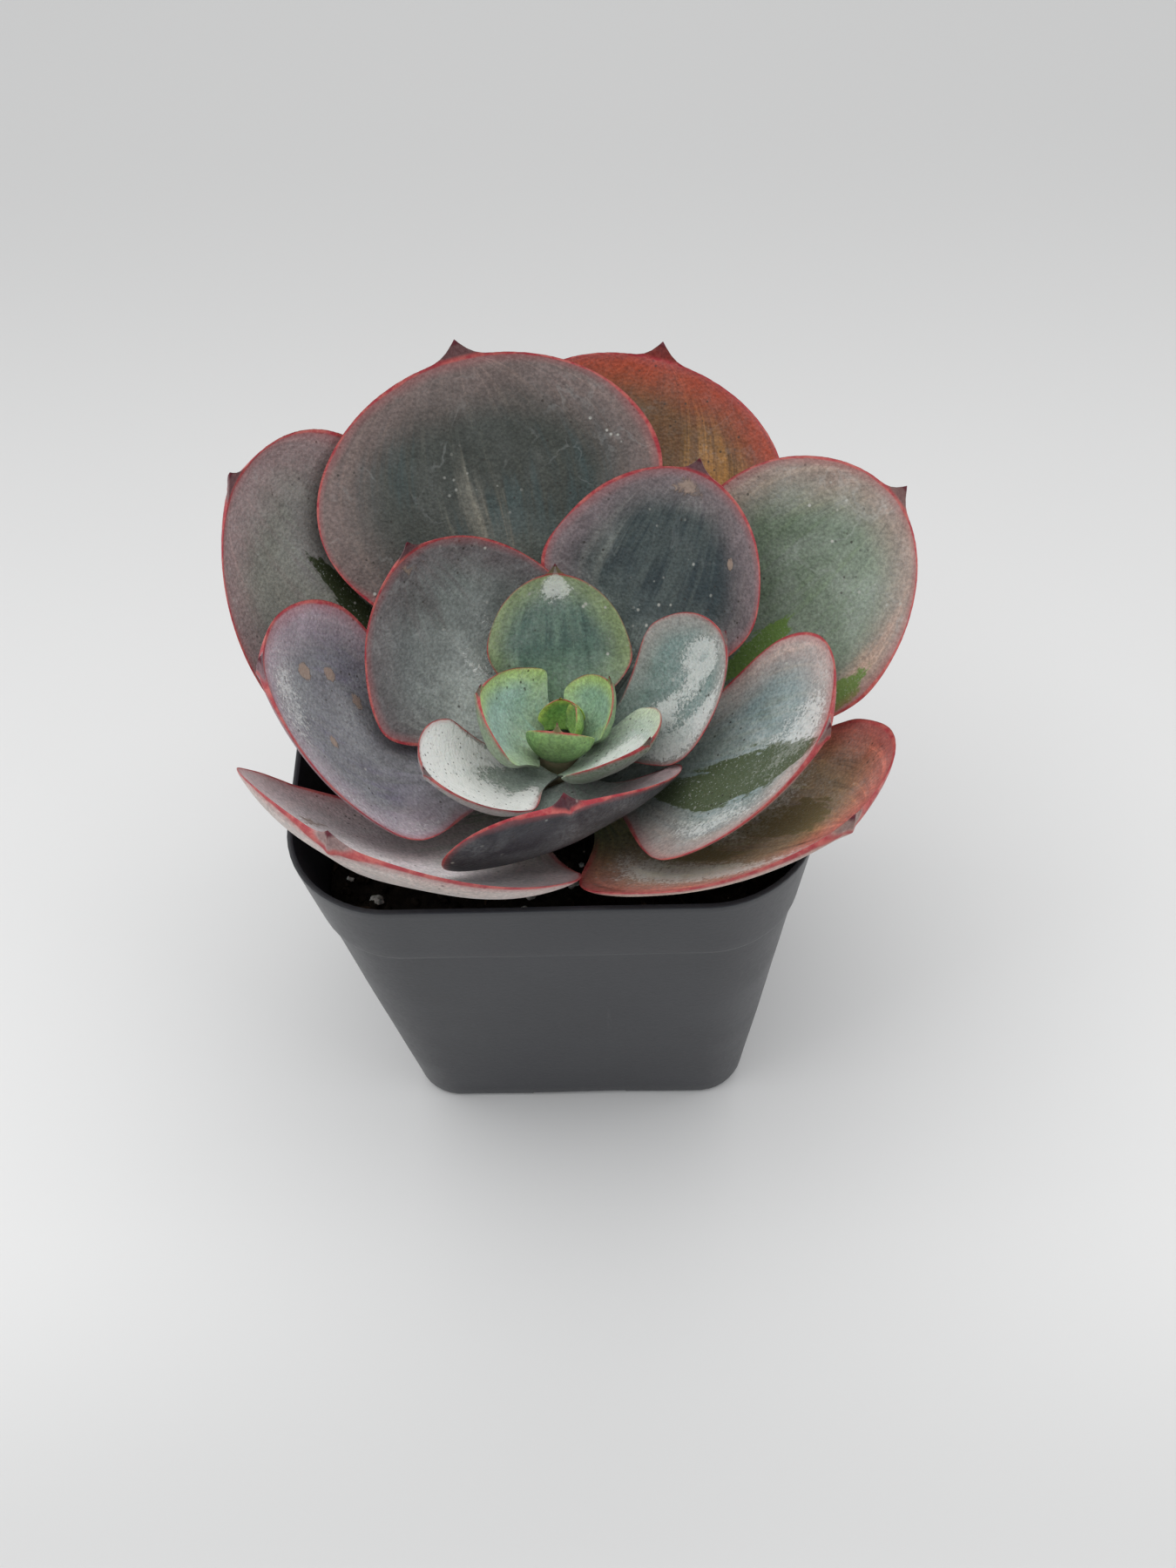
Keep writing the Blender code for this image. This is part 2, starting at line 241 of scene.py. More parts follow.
powder, farina, cork = (0.62, 0.65, 0.64), (0.84, 0.85, 0.83), (0.34, 0.25, 0.20)
blush = (0.40, 0.10, 0.11)
# the last kind of patch is painted shade, where neighbouring leaves shade the skin
patchKinds = ("wet", "scar", "frost", "stain", "paintedShadePatch")
common = dict(crease=0.0, bloom=0.10, patches=0.5, wetSkin=(0.05, 0.06, 0.02), stainSkin=(0.05, 0.05, 0.04),
              line=0.50, redFrom=0.15, streaks=0.30, glow=0.05, crust=0.65, marks=0.06, glints=0.45,
              **dict.fromkeys(patchKinds, ()))

# patches are (along, across, reach along, reach across, strength)
leaves = {
    "outer_leaf_front_right": dict(
        seat=4.7, azimuth=330, heading=326.5, length=41.6, width=36.3, rise=(9, 50), cup=26, shear=-23,
        roll=-7, widest=0.55, blunt=1.7, neck=0.18, slot="leaf_olive", line=0.42,
        neckSkin=(0.20, 0.25, 0.11), body=(0.36, 0.24, 0.13), tone=(0.25, 0.24, 0.10),
        outer=(0.50, 0.14, 0.11), under=(0.62, 0.46, 0.38), bloom=0.05, wetSkin=(0.23, 0.185, 0.09),
        streaks=0.95, wet=((0.68, 0.15, 0.18, 0.24, 1.05), (0.48, -0.30, 0.25, 0.13, 0.95)),
        frost=((0.70, -0.60, 0.40, 0.22, 0.70), (0.55, 0.05, 0.30, 0.4, 0.42), (0.40, 0.45, 0.2, 0.3, 0.5)),
        crust=0.45),
    "outer_leaf_back_right": dict(
        seat=3, azimuth=76, heading=76, length=55.7, width=42, rise=(12, 39), cup=28, shear=-6, roll=6,
        widest=0.63, blunt=2.4, neck=0.2, slot="leaf_red", crease=0.3, line=0.30,
        neckSkin=(0.42, 0.28, 0.07), body=(0.150, 0.068, 0.024), tone=(0.090, 0.058, 0.024),
        outer=(0.36, 0.055, 0.026), under=(0.45, 0.16, 0.12), bloom=0.02, patches=0.2, streaks=0.5,
        stainSkin=(0.42, 0.20, 0.045), stain=((0.70, -0.55, 0.25, 0.35, 0.7),), reach=7.0),
    "outer_leaf_front_left": dict(
        seat=4.5, azimuth=230, heading=228, length=41.2, width=37.4, rise=(11, 67), cup=27, shear=23,
        roll=11, widest=0.62, blunt=2.2, neck=0.18, slot="leaf_mauve", line=0.42,
        # the upper face is near white: partly pale farina and scars, partly painted light where other
        # leaves shade it
        neckSkin=(0.30, 0.36, 0.27), body=(0.74, 0.66, 0.68), tone=(0.58, 0.50, 0.52),
        outer=(0.56, 0.40, 0.41), under=(0.66, 0.53, 0.49), bloom=0.18, wetSkin=(0.12, 0.12, 0.07),
        scar=((0.86, 0.35, 0.08, 0.14, 0.85), (0.85, 0.68, 0.08, 0.14, 0.75), (0.88, 0.02, 0.05, 0.08, 0.6),
              (0.7, -0.5, 0.08, 0.1, 0.4)),
        frost=((0.70, 0.45, 0.20, 0.35, 0.45), (0.75, -0.4, 0.2, 0.3, 0.4)), crust=0.6),
    "outer_leaf_left": dict(
        seat=4.7, azimuth=153, heading=151, length=52.9, width=37.5, rise=(13, 67), cup=27, shear=17,
        roll=2, widest=0.6, blunt=2.1, neck=0.2, slot="leaf_slate", line=0.34,
        # the neck is pale: partly its own pale skin, partly painted light where other leaves shade it
        neckSkin=(0.46, 0.54, 0.38), body=(0.215, 0.215, 0.185), tone=(0.145, 0.130, 0.125),
        outer=(0.29, 0.20, 0.20), under=(0.30, 0.20, 0.20), bloom=0.05, patches=0.3,
        # dark green wet patches: partly rubbed skin, partly painted shadow where the back middle leaf
        # shades this one
        wetSkin=(0.022, 0.035, 0.008), streaks=0.45,
        wet=((0.58, -0.16, 0.15, 0.09, 1.2), (0.45, -0.06, 0.10, 0.06, 0.9)),
        frost=((0.72, -0.1, 0.10, 0.2, 0.18),), marks=0.10),
    "outer_leaf_right": dict(
        seat=5.6, azimuth=27, heading=25, length=49.9, width=33.5, rise=(28, 40), cup=19, shear=-4, roll=14,
        widest=0.67, blunt=1.7, neck=0.2, slot="leaf_sage", crease=-0.5, line=0.38,
        neckSkin=(0.17, 0.22, 0.14), body=(0.20, 0.25, 0.19), tone=(0.125, 0.175, 0.115),
        outer=(0.34, 0.245, 0.21), under=(0.36, 0.24, 0.20), bloom=0.07, streaks=0.55,
        wetSkin=(0.145, 0.245, 0.06), wet=((0.50, -0.14, 0.12, 0.17, 1.15), (0.52, -0.85, 0.18, 0.14, 1.1)),
        stainSkin=(0.50, 0.33, 0.24), stain=((0.70, -0.94, 0.16, 0.20, 1.3),),
        frost=((0.36, 0.25, 0.16, 0.12, 0.25),), marks=0.12),
    "middle_leaf_back": dict(
        seat=7.4, azimuth=108, heading=106, length=49.8, width=44.3, rise=(27, 51), cup=18, shear=1,
        roll=-1, widest=0.65, blunt=2, neck=0.21, slot="leaf_slate", crease=0.35, line=0.36,
        neckSkin=(0.20, 0.19, 0.13), body=(0.060, 0.084, 0.082), tone=(0.050, 0.053, 0.045),
        outer=(0.21, 0.155, 0.145), under=(0.24, 0.17, 0.17), bloom=0.01, patches=0.15, streaks=0.5,
        stainSkin=(0.165, 0.160, 0.135),
        stain=((0.62, 0.10, 0.22, 0.16, 0.55), (0.42, -0.10, 0.16, 0.10, 0.38),
               (0.30, 0.05, 0.10, 0.16, 0.45)),
        # painted shade on the lower side, where neighbouring leaves shade it
        paintedShadePatch=((0.36, 0.62, 0.16, 0.26, 0.8),), marks=0.10),
    "middle_leaf_left": dict(
        seat=7.6, azimuth=191, heading=189, length=40.6, width=31.8, rise=(17, 70), cup=25, shear=13,
        roll=-3, widest=0.6, blunt=1.5, neck=0.21, slot="leaf_mauve", line=0.42,
        # the neck is pale: partly its own pale skin, partly painted light where other leaves shade it
        neckSkin=(0.62, 0.60, 0.66), body=(0.190, 0.172, 0.235), tone=(0.165, 0.165, 0.180),
        outer=(0.40, 0.30, 0.36), under=(0.36, 0.24, 0.28), bloom=0.12,
        scar=((0.78, -0.35, 0.03, 0.07, 0.9), (0.66, -0.42, 0.025, 0.06, 0.9),
              (0.56, -0.30, 0.02, 0.05, 0.8), (0.70, 0.2, 0.02, 0.04, 0.8)),
        frost=((0.88, 0.1, 0.10, 0.7, 0.55), (0.6, 0.85, 0.4, 0.10, 0.4)), crust=0.40),
    "middle_leaf_right": dict(
        seat=7.7, azimuth=340, heading=339, length=36.2, width=31.2, rise=(22, 50), cup=22, shear=-13,
        roll=5, widest=0.63, blunt=2.3, neck=0.22, slot="leaf_sage", crease=-0.3, line=0.40,
        neckSkin=(0.25, 0.31, 0.28), body=(0.21, 0.285, 0.290), tone=(0.15, 0.19, 0.17),
        outer=(0.50, 0.36, 0.33), under=(0.46, 0.36, 0.31), bloom=0.12, patches=0.8,
        wetSkin=(0.072, 0.095, 0.042), streaks=0.5,
        wet=((0.70, -0.16, 0.30, 0.24, 1.25), (0.40, -0.30, 0.22, 0.16, 1.0)),
        frost=((0.70, -0.66, 0.26, 0.18, 0.50), (0.80, 0.0, 0.18, 0.45, 0.45), (0.9, 0.4, 0.1, 0.5, 0.4)),
        crust=0.45, glints=0.75),
    "inner_leaf_front": dict(
        seat=9.7, azimuth=276, heading=276, length=25.8, width=30, rise=(16, 78), cup=8, shear=23, roll=17,
        widest=0.61, blunt=2.2, neck=0.24, slot="leaf_slate", line=0.17,
        neckSkin=(0.26, 0.32, 0.28), body=(0.50, 0.44, 0.46), tone=(0.25, 0.22, 0.24),
        # painted shade: the underside, which faces the camera, is near black and carries little powder
        outer=(0.46, 0.30, 0.32), under=(0.034, 0.033, 0.042), bloom=0.16, underBloom=0.02,
        scar=((0.8, 0.2, 0.1, 0.4, 0.2),), frost=((0.75, 0.4, 0.25, 0.5, 0.35),)),
    "inner_leaf_back_right": dict(
        seat=9.2, azimuth=49, heading=55, length=36.3, width=30.7, rise=(29, 58), cup=22, shear=4, roll=-1,
        widest=0.59, blunt=1.7, neck=0.22, slot="leaf_teal", line=0.34,
        # the neck is pale: partly its own pale skin, partly painted light where other leaves shade it
        neckSkin=(0.46, 0.53, 0.48), body=(0.026, 0.042, 0.048), tone=(0.070, 0.090, 0.088),
        outer=(0.23, 0.18, 0.19), under=(0.22, 0.17, 0.19), bloom=0.0, patches=0.1, streaks=0.22,
        stainSkin=(0.14, 0.155, 0.145), stain=((0.62, 0.62, 0.30, 0.22, 0.7), (0.92, -0.2, 0.10, 0.6, 0.6)),
        scar=((0.94, 0.1, 0.05, 0.35, 0.45), (0.75, -0.62, 0.02, 0.03, 0.9))),
    "inner_leaf_back_left": dict(
        seat=9.6, azimuth=141, heading=142, length=30.1, width=30.9, rise=(31, 75), cup=14, shear=-1,
        roll=-5, widest=0.48, blunt=1.5, neck=0.24, slot="leaf_teal", crease=0.3, line=0.30,
        # the neck is pale: partly its own pale skin, partly painted light where other leaves shade it
        neckSkin=(0.68, 0.74, 0.70), body=(0.170, 0.190, 0.180), tone=(0.115, 0.125, 0.125),
        outer=(0.135, 0.112, 0.118), under=(0.22, 0.18, 0.19), bloom=0.07, streaks=0.4,
        frost=((0.34, 0.0, 0.22, 0.22, 0.45), (0.5, -0.3, 0.2, 0.1, 0.3)), stainSkin=(0.085, 0.078, 0.080),
        stain=((0.80, 0.1, 0.16, 0.6, 0.55),), scar=((0.93, 0.1, 0.06, 0.5, 0.30),), marks=0.10),
    "heart_leaf_right": dict(
        seat=10.2, azimuth=7, heading=7, length=25.2, width=17.3, rise=(31, 64), cup=23, shear=-12, roll=17,
        widest=0.59, blunt=1.5, neck=0.3, slot="leaf_frost", crease=-0.3, line=0.20,
        neckSkin=(0.25, 0.32, 0.27), body=(0.155, 0.255, 0.240), tone=(0.12, 0.19, 0.17),
        outer=(0.34, 0.31, 0.29), under=(0.30, 0.30, 0.28), bloom=0.16, patches=0.7,
        frost=((0.42, -0.15, 0.18, 0.26, 1.1), (0.80, 0.1, 0.16, 0.40, 0.95), (0.6, -0.7, 0.35, 0.22, 1.0)),
        crust=0.50),
    "heart_leaf_front_left": dict(
        seat=10.8, azimuth=220, heading=220, length=20.6, width=16.9, rise=(17, 60), cup=43, shear=8,
        roll=-9, widest=0.54, blunt=1.9, neck=0.36, slot="leaf_frost", crease=-0.2, line=0.18,
        neckSkin=(0.26, 0.33, 0.28), body=(0.36, 0.44, 0.36), tone=(0.20, 0.24, 0.20),
        outer=(0.70, 0.68, 0.64), under=(0.34, 0.36, 0.31), bloom=0.22, patches=0.7,
        frost=((0.85, 0.0, 0.30, 1.5, 1.5), (0.50, -0.6, 0.45, 0.30, 1.4),
               (0.45, 0.75, 0.28, 0.25, 1.1), (0.6, 0.2, 0.28, 0.3, 0.7)),
        crust=0.95),
    "heart_leaf_back": dict(
        seat=11, azimuth=97, heading=89, length=19.8, width=18.5, rise=(32, 62), cup=28, shear=-4, roll=12,
        widest=0.51, blunt=1.8, neck=0.42, slot="leaf_teal", line=0.11,
        neckSkin=(0.16, 0.26, 0.16), body=(0.072, 0.132, 0.112), tone=(0.135, 0.21, 0.165),
        outer=(0.25, 0.32, 0.15), under=(0.20, 0.25, 0.20), bloom=0.05, patches=0.4, streaks=0.5,
        frost=((0.95, 0.0, 0.13, 0.40, 0.9),), crust=0.5),
    "bud_leaf_front_right": dict(
        seat=11.5, azimuth=322, heading=322, length=16.4, width=15.7, rise=(38, 55), cup=31, shear=6,
        roll=-6, widest=0.48, blunt=2, neck=0.5, slot="leaf_green", line=0.13, redFrom=0.45,
        neckSkin=(0.42, 0.55, 0.40), body=(0.58, 0.70, 0.62), tone=(0.38, 0.50, 0.38),
        outer=(0.62, 0.72, 0.50), under=(0.13, 0.21, 0.11), bloom=0.22, patches=0.6,
        frost=((0.6, 0.0, 0.35, 0.6, 0.9),)),
    "bud_leaf_left": dict(
        seat=12.5, azimuth=184, heading=182, length=12.9, width=18.3, rise=(38, 79), cup=45, shear=-16,
        roll=-5, widest=0.46, blunt=1.9, neck=0.55, slot="leaf_green", line=0.12, redFrom=0.45,
        neckSkin=(0.36, 0.48, 0.30), body=(0.34, 0.52, 0.46), tone=(0.24, 0.39, 0.32),
        outer=(0.50, 0.68, 0.22), under=(0.24, 0.34, 0.20), bloom=0.12, patches=0.4),
    "bud_leaf_right": dict(
        seat=12.3, azimuth=34, heading=24, length=9.2, width=11.6, rise=(42, 72), cup=33, shear=14, roll=-8,
        widest=0.47, blunt=2.1, neck=0.55, slot="leaf_green", line=0.11, redFrom=0.50,
        neckSkin=(0.36, 0.50, 0.26), body=(0.34, 0.53, 0.42), tone=(0.24, 0.39, 0.27),
        outer=(0.50, 0.68, 0.22), under=(0.24, 0.38, 0.18), bloom=0.10, patches=0.4),
    "tip_leaf_back": dict(
        seat=13.1, azimuth=83, heading=84, length=4.5, width=6.2, rise=(51, 95), cup=40, shear=3, roll=4,
        widest=0.46, blunt=1.7, neck=0.7, slot="leaf_lime", line=0.07, redFrom=0.70,
        neckSkin=(0.34, 0.54, 0.14), body=(0.24, 0.48, 0.14), tone=(0.20, 0.38, 0.10),
        outer=(0.62, 0.76, 0.20), under=(0.34, 0.54, 0.16), bloom=0.02, patches=0.1, glow=0.2),
    "tip_leaf_front": dict(
        seat=13.4, azimuth=274, heading=273, length=6.8, width=9, rise=(45, 97), cup=42, shear=5, roll=-8,
        widest=0.45, blunt=1.7, neck=0.7, slot="leaf_lime", line=0.07, redFrom=0.70,
        neckSkin=(0.34, 0.54, 0.16), body=(0.24, 0.46, 0.16), tone=(0.20, 0.37, 0.12),
        outer=(0.62, 0.76, 0.22), under=(0.24, 0.40, 0.15), bloom=0.02, patches=0.1, glow=0.2),
    "tip_leaf_right": dict(
        seat=13.8, azimuth=15, heading=15, length=5.2, width=4.4, rise=(60, 100), cup=42, shear=0, roll=0,
        widest=0.45, blunt=1.7, neck=0.7, slot="leaf_lime", line=0.07, redFrom=0.75,
        neckSkin=(0.34, 0.54, 0.16), body=(0.30, 0.50, 0.18), tone=(0.24, 0.42, 0.14),
        outer=(0.62, 0.76, 0.22), under=(0.34, 0.54, 0.18), bloom=0.02, patches=0.1, glow=0.2),
}


def stemRadius(height):
    share = max(0.0, (height - stemShape["shoulder"]) / (stemShape["height"] - stemShape["shoulder"]))
    return stemShape["radius"] + (stemShape["tipRadius"] - stemShape["radius"]) * share


def halfWidth(along, leaf):  # share of the greatest half width
    neck, widest, blunt = leaf["neck"], leaf["widest"], leaf["blunt"]
    if along < widest:
        inner, outer = leafRules["flare"]
        return neck + (1 - neck) * sin((along / widest) ** inner * pi / 2) ** outer
    return sqrt(max(0.0, 1 - ((along - widest) / (1 - widest)) ** blunt))


def midline(start, heading, length, low, high, count):
    out, up = Vector((cos(heading), sin(heading), 0)), Vector((0, 0, 1))
    points, ways, spot = [], [], start.copy()
    for k in range(count + 1):
        angle = low + (high - low) * k / count
        way = out * cos(angle) + up * sin(angle)
        points.append(spot.copy())
        ways.append(way)
        spot += way * length / count
    return points, ways


def patchWeight(patches, along, across):
    total = 0.0
    for a, c, reachAlong, reachAcross, strength in patches:
        total += strength * exp(-((along - a) / reachAlong) ** 2 - ((across - c) / reachAcross) ** 2)
    return total


def store(mesh, name, values):
    mesh.attributes.new(name, "FLOAT", "POINT").data.foreach_set("value", np.array(values, np.float32))


def finishPiece(bm, name, node=None, sharp=180, marks=None):
    bmesh.ops.recalc_face_normals(bm, faces=bm.faces)
    mesh = meshFrom(name, bm)
    mesh.shade_smooth()
    if sharp < 180:
        mesh.set_sharp_from_angle(angle=radians(sharp))
    for label, values in (marks or {}).items():
        store(mesh, label, values)
    piece = addObject(name, mesh)
    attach(piece, "root")
    if node:
        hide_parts(node)
    return piece


def leafThickness(depth, along, place, half):  # place runs from -1 to 1 across the leaf
    rules = leafRules
    belly = rules["arc"] * (1 - abs(place) ** rules["arcPower"])
    belly += (1 - rules["arc"]) * sqrt(max(0.0, 1 - place ** rules["edgePower"]))
    thick = depth * float(np.interp(along, rules["depthAt"], rules["depthShare"])) * belly
    thick *= min(0.25 + half / 4, 1.0)
    keel = rules["keel"] * depth * exp(-(place / rules["keelWidth"]) ** 2)
    return thick + keel * along ** 3 * min(1.0, half)


def edgeDistance(leaf, along, place, half):  # from each point to the leaf's outline, mm
    line = 1 - (1 - np.linspace(0.02, 1.0, 700)) ** 3  # closer together towards the tip
    halves = np.array([leaf["width"] / 2 * halfWidth(a, leaf) for a in line])
    line, block = line * leaf["length"], 2000
    outline = np.concatenate([np.stack([line, halves], 1), np.stack([line, -halves], 1)])
    here = np.stack([along * leaf["length"], place * half], 1)
    return np.concatenate([np.sqrt(((here[k:k + block, None] - outline[None]) ** 2).sum(2)).min(1)
                           for k in range(0, len(here), block)])


def makeLeaf(name, s):
    rules, width, seed = leafRules, s["width"], s["seed"]
    angles = ("heading", "azimuth", "cup", "shear", "roll")
    heading, azimuth, cup, shear, roll = (radians(s[k]) for k in angles)
    depth = rules["thickness"] + rules["thicknessRate"] * width
    point = rules["point"] + rules["pointRate"] * width
    around, stations = next(mesh[1:] for mesh in leafMesh if width > mesh[0])
    reach = stemRadius(s["seat"]) + stemShape["seatGap"]
    start = Vector((stemAxis.x / mm + reach * cos(azimuth), stemAxis.y / mm + reach * sin(azimuth),
                    soilTop / mm + s["seat"]))
    points, ways = midline(start, heading, s["length"], *(radians(v) for v in s["rise"]), rules["steps"])
    side = Vector((-sin(heading), cos(heading), 0))
    bm = bmesh.new()
    bmesh.ops.create_uvsphere(bm, u_segments=around, v_segments=stations, radius=1.0)
    rows = []
    for vert in bm.verts:
        ring = round(stations * acos(max(-1.0, min(1.0, vert.co.z))) / pi)
        turn = atan2(vert.co.y, vert.co.x)
        share = min(max((ring - 1) / (stations - 1), 0.0), 1.0)
        along = 1 - (1 - share) ** rules["crowding"]
        place = cos(turn) if 0 < ring < stations else 0.0
        hand = 1 if place > 0 else -1
        isUnder = sin(turn) < 0.001
        spot, way = points[round(along * rules["steps"])], ways[round(along * rules["steps"])]
        over = way.cross(side)
        lean = roll * min(along / rules["leanReach"], 1.0)
        across, rise = side * cos(lean) + over * sin(lean), over * cos(lean) - side * sin(lean)
        half = width / 2 * halfWidth(along, s)
        half *= 1 + rules["wobble"] * noise.noise(Vector((along * 5, 3.0 * hand, seed))) * min(1, half)
        bend = cup * (rules["leastCup"] + (1 - rules["leastCup"]) * 2 * half / width)
        curl = bend * abs(place)
        x = half * sin(curl) / bend * hand
        y = half * (1 - cos(curl)) / bend
        y += s["crease"] * exp(-(place / rules["foldWidth"]) ** 2) * sin(pi * min(along * 1.05, 1.0))
        bumps = noise.noise(Vector((along * 3.0, place * 2.2, seed * 7.3)))
        y += rules["swell"] * width * bumps * sin(pi * along)
        top = spot + across * x + rise * y - way * x * tan(shear)
        runOut = max(0.0, 1 - half / (rules["pointFrom"] * width)) ** rules["pointPower"]
        top += (way + rise * rules["pointLift"]) * point * runOut if ring else Vector()
        normal = rise * cos(curl) - across * sin(curl) * hand
        thick = leafThickness(depth, along, place, half)
        if ring == 0:
            top = top - rise * depth * 0.3
        elif ring == stations:
            top = points[-1] + (way + rise * rules["pointLift"]) * point
        elif isUnder:
            top = top - normal * thick
        else:
            near = half * (1 - abs(place))
            rim = min(rules["rim"], half * 0.4)
            if near < rim:
                top = top - normal * (rim - sqrt(rim * rim - (rim - near) ** 2)) * min(1.0, thick / rim)
        vert.co = top * mm
        under = 1.0 if isUnder and abs(place) < 0.9999 else 0.0
        rows.append((along, place, under, runOut if ring else 0.0, half))
    rows = np.array(rows).T
    marks = dict(zip(("along", "across", "under", "tip"), rows))
    marks["edge"] = edgeDistance(s, rows[0], rows[1], rows[4])
    for label in patchKinds:
        marks[label] = [patchWeight(s[label], a, c) for a, c in zip(rows[0], rows[1])]
    leaf = finishPiece(bm, name + "_skin", name, marks=marks)
    leaf.data.materials.append(leafFinish(name, s))
    return leaf


def leafPatterns(tree, spot, s):  # the stored marks and the noises that the finish is made of
    labels = ("along", "across", "edge", "under", "tip", *patchKinds)
    has = {label: painted(tree, label) for label in labels}
    has["upper"] = calc(tree, "SUBTRACT", 1.0, has["under"])
    has["mottle"] = grain(tree, spot, 520.0, 5.0, 0.65, 0.3)
    has["fine"] = grain(tree, spot, 2300.0, 3.0, 0.7)
    lane = wire(tree, "ShaderNodeCombineXYZ", {}, {  # streaks run from the neck to the tip
        0: times(tree, has["across"], s["width"] * 0.42), 1: times(tree, has["along"], 2.6),
        2: s["seed"] * 1.7}).outputs[0]
    has["streak"] = grain(tree, lane, 1.0, 5.0, 0.62, 0.25)
    return has


def leafSkin(tree, spot, s, has):
    along, edge, streak, under = has["along"], has["edge"], has["streak"], has["under"]
    drift = timesPlus(tree, grain(tree, spot, 95.0, 4.0, 0.6, 0.5), 0.5, -0.25)
    colour = blendColour(tree, span(tree, plus(tree, along, drift), 0.12, 0.62), s["neckSkin"], s["body"])
    second = timesPlus(tree, grain(tree, spot, 42.0, 3.0, 0.5), 0.6, times(tree, streak, 0.4))
    colour = blendColour(tree, span(tree, second, 0.44, 0.56, 0.0, 0.85), colour, s["tone"])
    stainEdge = plus(tree, has["stain"], timesPlus(tree, streak, 1.3, -0.65))
    colour = blendColour(tree, span(tree, stainEdge, 0.22, 0.80, 0.0, 0.85), colour, s["stainSkin"])
    reach = s.get("reach", min(9.0, 0.22 * s["width"]))
    rimSide = span(tree, timesPlus(tree, drift, reach, edge), 0.0, reach, 1.0, 0.0)
    rimSide = times(tree, rimSide, span(tree, along, 0.2, 0.55))
    colour = blendColour(tree, rimSide, colour, s["outer"])
    underside = blendColour(tree, span(tree, edge, 0.5, reach, 0.0, 0.7), s["under"],
                            [v * 0.7 for v in s["under"]])
    colour = blendColour(tree, under, colour, underside)
    for kind, low, high in (("veil", 0.50, 0.72), ("furrow", 0.46, 0.28)):
        colour = tinted(tree, times(tree, span(tree, streak, low, high), s["streaks"]), colour, tints[kind])
    colour = tinted(tree, span(tree, has["mottle"], 0.38, 0.66, 0.0, 0.34), colour, tints["mottle"])
    flecked = blendColour(tree, span(tree, has["fine"], 0.36, 0.64), (0.80, 0.80, 0.80), (1.22, 1.22, 1.22))
    colour = blendColour(tree, 1.0, colour, flecked, "MULTIPLY")
    # painted shade: undersides darker towards the neck, and patches where neighbouring leaves shade the
    # skin
    deep = times(tree, under, span(tree, along, 0.15, 0.60, 0.75, 0.0))
    return tinted(tree, calc(tree, "MAXIMUM", deep, has["paintedShadePatch"]), colour, tints["deep"])


def waterOn(tree, spot, s, has, colour):  # dried water marks, and wet skin where the powder is gone
    contour = calc(tree, "ABSOLUTE", calc(tree, "SUBTRACT", grain(tree, spot, 75.0, 5.0, 0.55, 0.4), 0.5))
    contour = times(tree, span(tree, contour, 0.002, 0.014, s["marks"], 0.0), has["upper"])
    contour = times(tree, contour, span(tree, grain(tree, spot, 130.0, 2.0), 0.45, 0.60))
    colour = blendColour(tree, contour, colour, powder)
    ragged = timesPlus(tree, has["mottle"], 0.7, times(tree, has["streak"], 1.1))
    wetEdge = calc(tree, "SUBTRACT", plus(tree, has["wet"], ragged), 0.90)
    wet = times(tree, span(tree, wetEdge, 0.42, 0.54), has["upper"])
    colour = blendColour(tree, times(tree, wet, 0.93), colour, s["wetSkin"])
    glints = times(tree, span(tree, grain(tree, spot, 3300.0, 2.0, 0.8), 0.60, 0.72), wet)
    return blendColour(tree, times(tree, glints, s["glints"]), colour, powder), wet


def powderOn(tree, spot, s, has, colour, wet):  # a film of powder, and thick farina with a crisp edge
    bare = calc(tree, "SUBTRACT", 1.0, wet)
    amount = timesPlus(tree, has["under"], s.get("underBloom", s["bloom"]) - s["bloom"], s["bloom"])
    amount = timesPlus(tree, has["frost"], 0.35, amount)
    bloom = useGroup(tree, powderBloom, {"Spot": spot, "Amount": amount, "Patches": s["patches"]})
    film = times(tree, bloom["Mask"], timesPlus(tree, bare, 0.92, 0.08))
    colour = blendColour(tree, film, colour, powder)
    flakes = timesPlus(tree, grain(tree, spot, 260.0, 6.0, 0.7, 0.4), 0.7, times(tree, has["streak"], 0.5))
    crustEdge = plus(tree, timesPlus(tree, has["fine"], 1.1, flakes), has["frost"])
    crust = times(tree, span(tree, crustEdge, 1.52, 1.72), timesPlus(tree, bare, 0.6, 0.4))
    crust = times(tree, crust, span(tree, has["mottle"], 0.30, 0.50, 0.5 * s["crust"], s["crust"]))
    crust = times(tree, crust, timesPlus(tree, has["under"], -0.85, 1.0))
    return blendColour(tree, crust, colour, farina), film, crust, bloom["Height"]


def scarsOn(tree, spot, has, colour, crust):  # corky scars, specks and grit
    scarEdge = plus(tree, grain(tree, spot, 640.0, 6.0, 0.75, 0.8), has["scar"])
    scar = times(tree, span(tree, scarEdge, 0.76, 0.90, 0.0, 0.85), timesPlus(tree, has["upper"], 0.8, 0.2))
    colour = blendColour(tree, scar, colour, cork)
    specks = useGroup(tree, skinSpecks, {"Spot": spot, "Density": 0.9})
    colour = blendColour(tree, specks["Pale"], colour, (0.50, 0.50, 0.46))
    crustPits = times(tree, crust, span(tree, pits(tree, spot, 1300.0), 0.10, 0.22, 0.9, 0.0))
    grit = calc(tree, "MAXIMUM", specks["Dark"], crustPits)
    return blendColour(tree, times(tree, grit, 0.85), colour, (0.03, 0.025, 0.02)), scar


